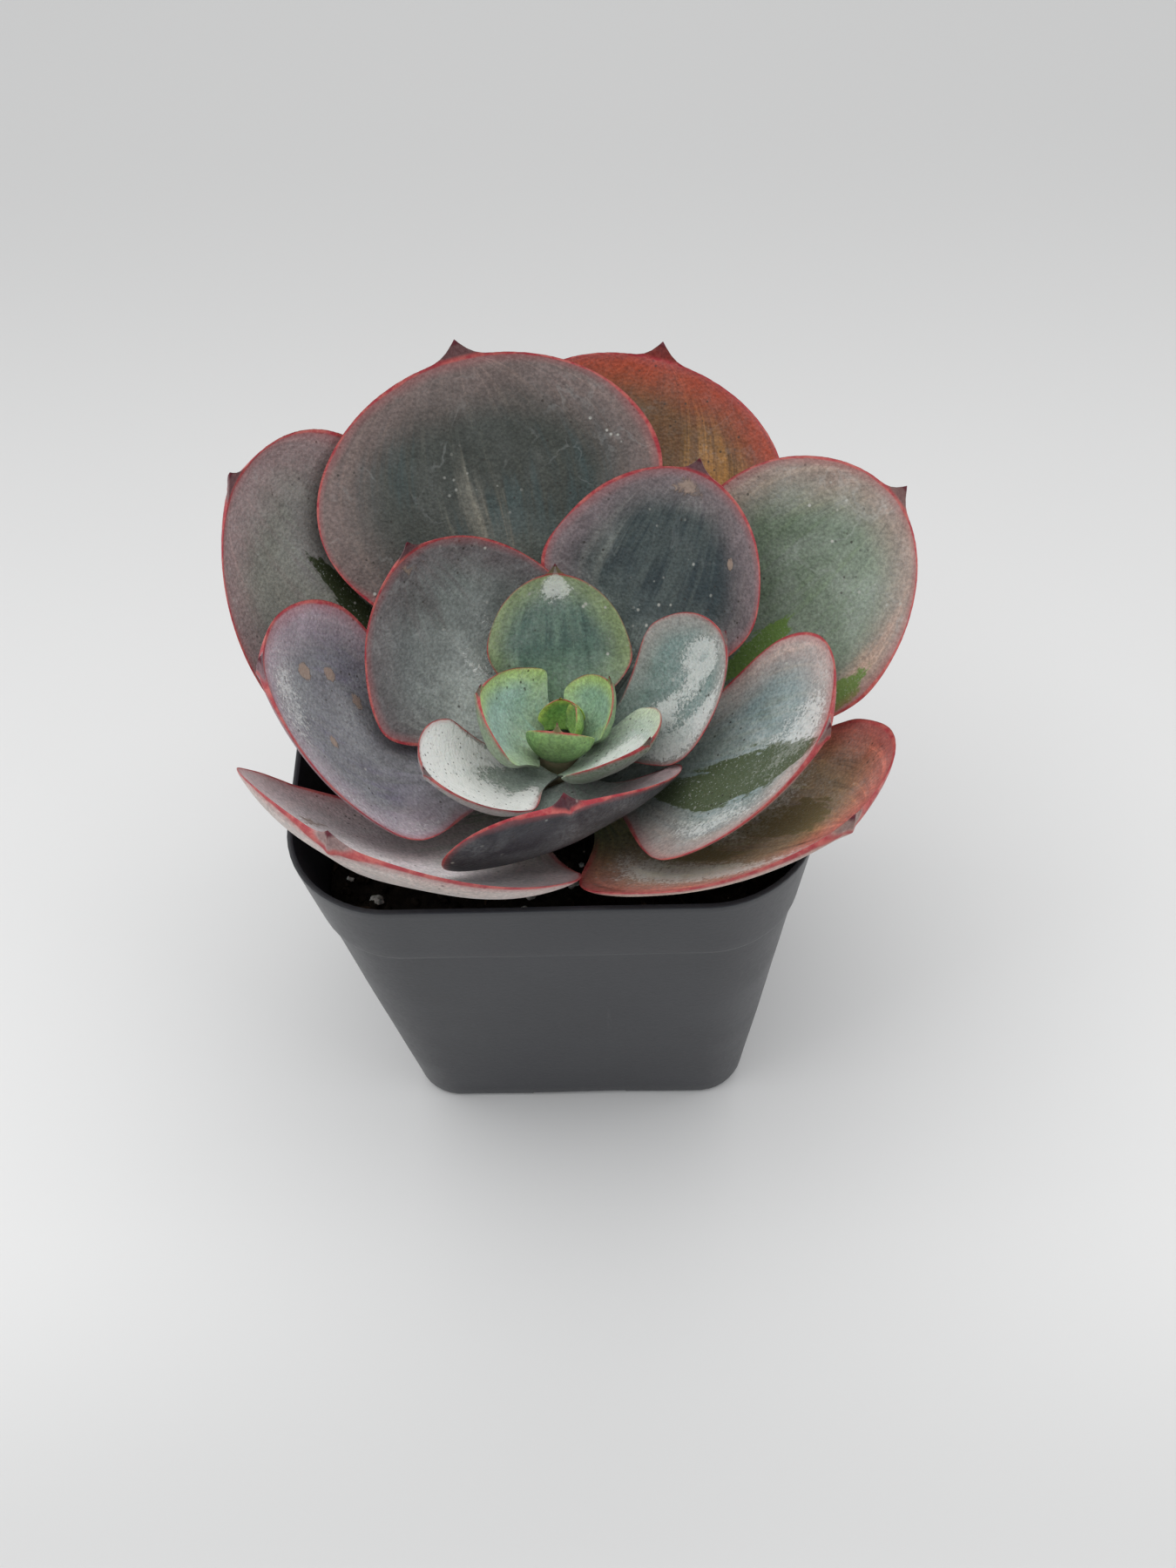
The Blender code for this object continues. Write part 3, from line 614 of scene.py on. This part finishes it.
def marginOn(tree, spot, s, has, colour):  # blush, red line and dark point
    tip = has["tip"]
    margin = useGroup(tree, redMargin, {"Spot": spot, "Edge": has["edge"], "Along": has["along"],
                                        "Width": s["line"], "From": s["redFrom"]})
    plain = span(tree, tip, 0.0, 0.22, 1.0, 0.0)
    colour = blendColour(tree, times(tree, times(tree, margin["Blush"], 0.42), plain), colour, blush)
    lineSkin = blendColour(tree, span(tree, has["mottle"], 0.40, 0.62), red, coral)
    line = times(tree, margin["Line"], plain)
    colour = blendColour(tree, times(tree, line, 0.90), colour, lineSkin)
    point = calc(tree, "MAXIMUM", span(tree, tip, 0.0, 0.25, 0.0, 0.60), span(tree, tip, 0.35, 0.85))
    return blendColour(tree, point, colour, wine), margin["Line"]


def leafFinish(name, s):
    made, tree, shader, spot = newMaterial(name + "_finish", {
        "Subsurface Weight": s["glow"], "Subsurface Scale": 0.0012, "Subsurface Radius": (1.0, 0.5, 0.3),
        "IOR": 1.38, "Sheen Weight": 0.02, "Sheen Roughness": 0.5})
    has = leafPatterns(tree, spot, s)
    colour = leafSkin(tree, spot, s, has)
    colour, wet = waterOn(tree, spot, s, has, colour)
    colour, film, crust, grains = powderOn(tree, spot, s, has, colour, wet)
    colour, scar = scarsOn(tree, spot, has, colour, crust)
    colour, line = marginOn(tree, spot, s, has, colour)
    rough = timesPlus(tree, calc(tree, "MAXIMUM", film, crust), 0.32, 0.44)
    rough = calc(tree, "SUBTRACT", rough, times(tree, wet, 0.16))
    rough = calc(tree, "SUBTRACT", rough, times(tree, line, 0.10), clamp=True)
    height = times(tree, pits(tree, spot, 2400.0), 0.5)
    for layer, depth in ((grains, 1.5), (calc(tree, "MAXIMUM", scar, crust), 1.2), (has["mottle"], 0.8),
                         (has["streak"], 0.8)):
        height = plus(tree, height, times(tree, layer, depth))
    dress(tree, shader, colour, rough, height, 0.00012, 0.8)
    return made


for number, (leafName, leafSettings) in enumerate(leaves.items(), 1):
    fineLeaf = makeLeaf(leafName, {**common, "seed": number, **leafSettings})
    low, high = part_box(leafName)
    spots = np.array([v.co for v in fineLeaf.data.vertices])
    off = max(np.abs(spots.min(0) - low).max(), np.abs(spots.max(0) - high).max()) / mm
    print(f"{leafName}: {len(fineLeaf.data.polygons)} faces, off its CAD box by {off:.2f} mm")

# pot
pot = {"corner": 13.0, "footCorner": 6.5, "topWidth": (potBox[1].x - potBox[0].x) / mm, "footWidth": 46.0,
       "height": potTop / mm, "wall": 0.75, "floor": 1.2, "step": 0.35, "collar": 12.5, "lip": 0.3,
       "hole": 8.0, "holeInset": 7.0, "notch": 13.0, "notchHeight": 1.0, "wave": 0.10}


def squareSpot(share, width, corner, height):  # a place along a rounded square, share 0 to 1 round it
    quarter, rest = divmod(share * 4 + 0.5, 1.0)
    flat = width - 2 * corner
    arc = corner * pi / 2
    run = rest * (flat + arc)
    turn = Matrix.Rotation(quarter * pi / 2, 3, "Z")
    if run < flat / 2:
        spot = Vector((width / 2, run, height))
    elif run < flat / 2 + arc:
        angle = (run - flat / 2) / corner
        spot = Vector((flat / 2 + corner * cos(angle), flat / 2 + corner * sin(angle), height))
    else:
        spot = Vector((flat / 2 - (run - flat / 2 - arc), width / 2, height))
    return turn @ spot


def wallAt(height):
    share = height / pot["height"]
    return (pot["footWidth"] + (pot["topWidth"] - pot["footWidth"]) * share,
            pot["footCorner"] + (pot["corner"] - pot["footCorner"]) * share)


def squareLoft(rings, segments, wave=0.0):  # a closed body from one loop of edges pulled through each ring
    bm = bmesh.new()
    shareOf = bm.verts.layers.float.new("share")
    loop = bmesh.ops.create_circle(bm, cap_ends=True, segments=segments, radius=1.0)["verts"]
    for k, vert in enumerate(loop):
        vert[shareOf] = k / segments
    edges = list(bm.edges)
    for number, (width, corner, height) in enumerate(rings):
        if number:
            geom = bmesh.ops.extrude_edge_only(bm, edges=edges)["geom"]
            edges = [g for g in geom if isinstance(g, bmesh.types.BMEdge)]
            loop = [g for g in geom if isinstance(g, bmesh.types.BMVert)]
        for vert in loop:
            spot = squareSpot(vert[shareOf], width, min(corner, width / 2), height)
            out = Vector((spot.x, spot.y, 0)).normalized()
            spot += out * wave * noise.noise(spot * 0.09)
            vert.co = spot * mm
    bmesh.ops.edgeloop_fill(bm, edges=edges)
    return bm


def cutAway(piece, cutters):
    for cutter in cutters:
        step = piece.modifiers.new(cutter.name, "BOOLEAN")
        step.operation, step.solver, step.object = "DIFFERENCE", "EXACT", cutter
    graph = bpy.context.evaluated_depsgraph_get()
    mesh = bpy.data.meshes.new_from_object(piece.evaluated_get(graph))
    piece.modifiers.clear()
    piece.data = mesh
    for cutter in cutters:
        bpy.data.objects.remove(cutter)


def makePot():
    top, step, lip, wall = pot["height"], pot["step"], pot["lip"], pot["wall"]
    collar = top - pot["collar"]
    floor = pot["floor"] + pot["notchHeight"]
    outside = [(0.0, step + 12), (0.0, step + 1.0), (0.12, step + 0.45), (0.5, step + 0.12), (1.1, step)]
    outside += [(h, step) for h in (3, 7, 12, 18, 24, 30, 36, 42, collar - 0.9, collar - 0.45)]
    outside += [(collar - 0.25, step * 0.8), (collar - 0.08, step * 0.25), (collar + 0.1, 0.02)]
    outside += [(h, 0.0) for h in (collar + 0.4, collar + 2, collar + 5, collar + 8, top - 1.2, top - lip)]
    outside += [(top - lip * 0.4, lip * 0.12), (top - lip * 0.08, lip * 0.45), (top, lip)]
    inside = [(top, wall - lip), (top - lip * 0.3, wall - lip * 0.2), (top - lip, wall)]
    inside += [(top - 3, wall + 0.1)] + [(h, wall + step) for h in (collar + 1, 34, 20, floor + 1.5)]
    inside += [(floor + 0.3, wall + step + 0.4), (floor, wall + step + 1.6), (floor, 16.0)]
    rings = []
    for height, inset in outside + inside:
        width, corner = wallAt(height)
        rings.append((width - 2 * inset, max(corner - inset, 1.0), height))
    bm = squareLoft(rings, 160, pot["wave"])
    body = finishPiece(bm, "pot_shell", "pot")
    cutters = []
    for side in range(4):
        turn = Matrix.Rotation(side * pi / 2, 4, "Z")
        bm = bmesh.new()
        place = Matrix.Translation((0, -pot["footWidth"] / 2 * mm, 0)) @ Matrix.Diagonal(
            (pot["notch"] * mm, 2 * pot["holeInset"] * mm, 2 * pot["notchHeight"] * mm, 1))
        bmesh.ops.create_cube(bm, size=1.0, matrix=turn @ place)
        bmesh.ops.bevel(bm, geom=[e for e in bm.edges if abs(e.verts[0].co.z - e.verts[1].co.z) < 1e-6],
                        offset=0.3 * mm, segments=2, profile=0.5, affect="EDGES", material=-1)
        cutters.append(addObject(f"notchCutter{side}", meshFrom("cutter", bm)))
        bm = bmesh.new()
        place = Matrix.Translation((0, (pot["holeInset"] - pot["footWidth"] / 2) * mm, 0))
        bmesh.ops.create_cone(bm, cap_ends=True, segments=40, radius1=pot["hole"] / 2 * mm,
                              radius2=pot["hole"] / 2 * mm, depth=8 * mm, matrix=turn @ place)
        cutters.append(addObject(f"holeCutter{side}", meshFrom("cutter", bm)))
    cutAway(body, cutters)
    body.data.shade_smooth()
    body.data.set_sharp_from_angle(angle=radians(38))
    body.data.materials.append(plasticFinish())


def plasticFinish():
    made, tree, shader, spot = newMaterial("charcoal_plastic", {
        "IOR": 1.50, "Specular IOR Level": 0.43, "Sheen Weight": 0.02})
    dust = useGroup(tree, fineDust, {"Spot": spot, "Scale": 1.0})
    flow = grain(tree, spot, 38.0, 3.0, 0.5, 0.8)
    colour = blendColour(tree, flow, (0.012, 0.0135, 0.019), (0.019, 0.021, 0.028))
    colour = blendColour(tree, times(tree, dust["Dust"], 0.10), colour, (0.30, 0.29, 0.27))
    colour = blendColour(tree, times(tree, dust["Scuff"], 0.18), colour, (0.16, 0.16, 0.17))
    rough = timesPlus(tree, dust["Height"], 0.20, 0.26)
    rough = plus(tree, rough, times(tree, dust["Dust"], 0.15), clamp=True)
    dress(tree, shader, colour, rough, dust["Height"], 0.00006, 0.6)
    return made


makePot()
print("pot made")

# potting mix
soil = {"gap": 0.4, "crown": 0.8, "lumps": 0.9, "sink": 0.35, "wallInset": 1.15, "socket": 0.3,
        "socketDepth": 18.6, "seed": 11}
# count, least and greatest size in mm, stretch, mesh detail, how far it stands out
looseBits = {"soil_crumbs": (900, (0.5, 1.9), 1.0, 2, 0.12), "bark_fibres": (90, (0.5, 0.9), 4.5, 1, 0.45),
             "perlite_grains": (70, (0.5, 1.9), 1.1, 3, 0.25)}


def soilEdge(height, gap=0.0):
    width, corner = wallAt(height)
    inset = soil["wallInset"] + gap
    return width - 2 * inset, corner - inset


def soilHeight(x, y):  # height of the soil's surface, mm
    reach = max(abs(x), abs(y)) / (soilEdge(soilTop / mm)[0] / 2)
    dome = soilTop / mm - soil["crown"] * min(1.0, max(0.0, reach - 0.4) / 0.6) - soil["sink"]
    lumps = noise.fractal(Vector((x, y, 2.0)) * 0.33, 1.0, 2.1, 5) * soil["lumps"]
    return dome + lumps * 0.55


def makeSoil():
    base = soilBox[0].z / mm
    top = soilTop / mm - soil["crown"]
    width, corner = soilEdge(top, soil["gap"])
    rings = [(*[v * 0.3 for v in soilEdge(base, soil["gap"])], base), (*soilEdge(base, soil["gap"]), base),
             (*soilEdge((base + top) / 2, soil["gap"]), (base + top) / 2), (width, corner, top - 1.2)]
    rings += [(width * k, corner * k, top) for k in np.linspace(0.995, 0.03, 46)]
    bm = squareLoft(rings, 128)
    for vert in bm.verts:
        if vert.co.z > (top - 0.6) * mm:
            vert.co.z = soilHeight(vert.co.x / mm, vert.co.y / mm) * mm
    body = finishPiece(bm, "soil_bed", "soil")
    bm = bmesh.new()
    socket = (stemShape["radius"] + soil["socket"]) * mm
    bmesh.ops.create_cone(bm, cap_ends=True, segments=40, radius1=socket, radius2=socket,
                          depth=2 * soil["socketDepth"] * mm,
                          matrix=Matrix.Translation((stemAxis.x, stemAxis.y, soilTop)))
    cutAway(body, [addObject("stemSocket", meshFrom("cutter", bm))])
    body.data.shade_smooth()
    # near black: the peat's own dark brown with painted shade from the rosette over it
    body.data.materials.append(soilFinish("peat", (0.004, 0.003, 0.0025), (0.016, 0.012, 0.009)))


def soilFinish(name, dark, brown):
    made, tree, shader, spot = newMaterial(name, {"IOR": 1.35, "Specular IOR Level": 0.12})
    dust = useGroup(tree, fineDust, {"Spot": spot, "Scale": 1.6})
    lumps = grain(tree, spot, 420.0, 6.0, 0.7, 0.6)
    colour = blendColour(tree, span(tree, lumps, 0.35, 0.68), dark, brown)
    bits = span(tree, pits(tree, spot, 700.0), 0.05, 0.13, 1.0, 0.0)
    bits = times(tree, bits, span(tree, grain(tree, spot, 210.0, 2.0), 0.55, 0.66))
    colour = blendColour(tree, bits, colour, (0.34, 0.30, 0.25))
    colour = blendColour(tree, times(tree, dust["Dust"], 0.12), colour, (0.22, 0.19, 0.16))
    rough = timesPlus(tree, lumps, 0.2, 0.78, clamp=True)
    dress(tree, shader, colour, rough, plus(tree, lumps, times(tree, dust["Height"], 0.4)), 0.0005, 1.0)
    return made


def scatter(name, finish, seed):
    count, sizes, stretch, detail, lift = looseBits[name]
    rand = Random(seed)
    bm = bmesh.new()
    shared = bpy.data.meshes.new(name + "Lump")
    reach = soilEdge(soilTop / mm)[0] / 2 - sizes[1]
    corner = soilEdge(soilTop / mm)[1] - sizes[1]
    done = 0
    while done < count:
        x, y = rand.uniform(-reach, reach), rand.uniform(-reach, reach)
        outX, outY = max(0.0, abs(x) - (reach - corner)), max(0.0, abs(y) - (reach - corner))
        if outX * outX + outY * outY > corner * corner:
            continue
        clear = stemShape["radius"] + sizes[1] + 0.4
        if (x - stemAxis.x / mm) ** 2 + (y - stemAxis.y / mm) ** 2 < clear ** 2:
            continue
        size = rand.uniform(*sizes) * rand.uniform(0.6, 1.0)
        shape = (rand.uniform(0.75, 1.25) * stretch, rand.uniform(0.7, 1.1), rand.uniform(0.6, 0.95))
        turn = Matrix.Rotation(rand.uniform(0, 2 * pi), 4, "Z")
        turn = turn @ Matrix.Rotation(rand.uniform(-0.5, 0.5), 4, "Y")
        place = Matrix.Translation(Vector((x, y, soilHeight(x, y) + size * lift)) * mm)
        lump = bmesh.new()
        bmesh.ops.create_icosphere(lump, subdivisions=detail, radius=0.5)
        for vert in lump.verts:
            vert.co *= 1 + 0.55 * noise.noise(vert.co * 3.1 + Vector((done * 3.7, 0, 0)))
            vert.co = place @ turn @ (Vector([v * share for v, share in zip(vert.co, shape)]) * size * mm)
        lump.to_mesh(shared)
        lump.free()
        bm.from_mesh(shared)
        done += 1
    bpy.data.meshes.remove(shared)
    piece = finishPiece(bm, name)
    piece.data.materials.append(finish)


def perliteFinish():
    made, tree, shader, spot = newMaterial("perlite_grain", {"IOR": 1.4, "Subsurface Weight": 0.1,
                                                             "Subsurface Scale": 0.0005})
    pores = grain(tree, spot, 1500.0, 4.0, 0.7)
    colour = blendColour(tree, span(tree, pores, 0.35, 0.65), (0.30, 0.29, 0.27), (0.72, 0.71, 0.68))
    dirt = span(tree, grain(tree, spot, 500.0, 3.0), 0.50, 0.66, 0.0, 0.7)
    colour = blendColour(tree, dirt, colour, (0.10, 0.085, 0.07))
    dress(tree, shader, colour, timesPlus(tree, pores, 0.2, 0.7), pores, 0.0002, 0.8)
    return made


makeSoil()
# the peat crumbs are near black too: dark peat with painted shade from the rosette
finishes = (soilFinish("peat_crumb", (0.005, 0.004, 0.003), (0.026, 0.019, 0.014)),
            soilFinish("bark_chip", (0.02, 0.013, 0.008), (0.065, 0.042, 0.028)), perliteFinish())
for number, (bitName, bitFinish) in enumerate(zip(looseBits, finishes)):
    scatter(bitName, bitFinish, soil["seed"] + number)
print("potting mix made")


# stem
def makeStem():
    bm = bmesh.new()
    bmesh.ops.create_cone(bm, cap_ends=True, segments=48, radius1=1.0, radius2=1.0, depth=1.0)
    sideEdges = [e for e in bm.edges if abs(e.verts[0].co.z - e.verts[1].co.z) > 0.5]
    bmesh.ops.subdivide_edges(bm, edges=sideEdges, cuts=70, use_grid_fill=True)
    low, high = stemBox[0].z / mm, stemBox[1].z / mm
    for vert in bm.verts:
        height = low + (high - low) * (vert.co.z + 0.5)
        above = height - soilTop / mm
        turn = atan2(vert.co.y, vert.co.x)
        buried = min(1.0, 0.5 + 0.5 * (height - low) / 9.0)
        radius = stemRadius(above) * buried - 0.15
        radius += 0.10 * sin(above * 4.1 + 0.8 * sin(turn * 3))  # old leaf scars ring the stem
        radius += 0.06 * noise.noise(Vector((turn * 2, above, 1)))
        vert.co = Vector((radius * cos(turn), radius * sin(turn), height)) * mm
        vert.co += Vector((stemAxis.x, stemAxis.y, 0))
    body = finishPiece(bm, "stem_core", "stem", sharp=50)
    body.data.materials.append(barkFinish())


def barkFinish():
    made, tree, shader, spot = newMaterial("stem_bark", {"Subsurface Weight": 0.05,
                                                         "Subsurface Scale": 0.001})
    squashed = wire(tree, "ShaderNodeMapping", {}, {"Vector": spot, "Scale": (1, 1, 4)}).outputs[0]
    rings = grain(tree, squashed, 260.0, 5.0, 0.7)
    colour = blendColour(tree, span(tree, rings, 0.35, 0.7), (0.14, 0.15, 0.075), (0.26, 0.21, 0.13))
    specks = useGroup(tree, skinSpecks, {"Spot": spot, "Density": 0.8})
    colour = blendColour(tree, specks["Dark"], colour, (0.05, 0.035, 0.02))
    dress(tree, shader, colour, timesPlus(tree, rings, 0.2, 0.6), rings, 0.0002, 0.8)
    return made


makeStem()
print("stem made")

# stage, lights and camera
def paperWithPaintedFalloff():  # pale paper, darker towards the back and the front: painted falloff of light
    made, tree, shader, spot = newMaterial("pale_floor_painted_falloff", {"Roughness": 0.75, "Specular IOR Level": 0.3})
    colour = blendColour(tree, grain(tree, spot, 14.0, 3.0), (0.80, 0.80, 0.80), (0.83, 0.83, 0.83))
    y = wire(tree, "ShaderNodeSeparateXYZ", {}, {0: spot}).outputs[1]
    # painted falloff of light: darker towards the back and the front
    for start, end, tone in ((-0.02, 0.20, 0.555), (-0.040, -0.088, 0.69)):
        colour = blendColour(tree, span(tree, y, start, end), colour, (tone, tone, tone))
    tree.links.new(colour, shader.inputs["Base Color"])
    return made


floorBm = bmesh.new()
bmesh.ops.create_grid(floorBm, x_segments=1, y_segments=1, size=4.0,
                      matrix=Matrix.Translation((0, 0, -0.05 * mm)))
floor = addObject("floor", meshFrom("floor", floorBm))
floor.data.materials.append(paperWithPaintedFalloff())


def addArea(name, spot, aim, size, power, colour):
    lamp = bpy.data.lights.new(name, "AREA")
    lamp.shape, lamp.size, lamp.size_y = "RECTANGLE", *size
    lamp.energy, lamp.color = power, colour
    made = addObject(name, lamp)
    made.location = spot
    made.rotation_euler = (Vector(aim) - Vector(spot)).to_track_quat("-Z", "Y").to_euler()


lighting = {"keyPlace": (-0.05, 0.13, 0.72), "keySize": (1.0, 0.8), "keyPower": 3.6, "sky": 0.50,
            "sideReach": 0.75, "sideHeight": 0.42, "sideSize": (0.8, 0.7), "sidePower": 1.5}
addArea("softKey", lighting["keyPlace"], (0, 0, 0.05), lighting["keySize"], lighting["keyPower"],
        (1.0, 0.99, 0.97))
for way in (-1, 1):
    addArea(f"sidePanel{way}", (way * lighting["sideReach"], -0.12, lighting["sideHeight"]), (0, 0, 0.04),
            lighting["sideSize"], lighting["sidePower"], (1.0, 1.0, 1.0))
world = bpy.data.worlds.new("pale_room")
world.use_nodes = True
world.node_tree.nodes["Background"].inputs[0].default_value = (0.96, 0.98, 1.0, 1.0)
world.node_tree.nodes["Background"].inputs[1].default_value = lighting["sky"]
bpy.context.scene.world = world
bpy.context.scene.view_settings.view_transform = "Standard"

# degrees and mm; swing is how far the lens looks past the middle of the rim, sideways and up
view = {"azimuth": 6.1, "elevation": 50.6, "roll": 6.2, "distance": 271.46, "swing": (-0.0156, 0.0392),
        "lens": 50.0, "sensor": 36.0}
lens = bpy.data.cameras.new("camera")
lens.lens, lens.sensor_width = view["lens"], view["sensor"]
lens.clip_start = 0.01
camera = addObject("camera", lens)
azimuth, elevation, roll = (radians(view[k]) for k in ("azimuth", "elevation", "roll"))
towards = Vector((sin(azimuth) * cos(elevation), -cos(azimuth) * cos(elevation), sin(elevation)))
right = Vector((0, 0, 1)).cross(towards).normalized()
level = Matrix((right, towards.cross(right), -towards))
swing = Vector((0, 0, 1)).rotation_difference(Vector((*view["swing"], 1))).to_matrix()
right, up, ahead = swing @ Matrix.Rotation(roll, 3, "Z") @ level
place = towards * view["distance"] * mm + Vector((0, 0, potTop))
camera.matrix_world = Matrix.Translation(place) @ Matrix((right, up, -ahead)).transposed().to_4x4()
bpy.context.scene.camera = camera
print("stage made")
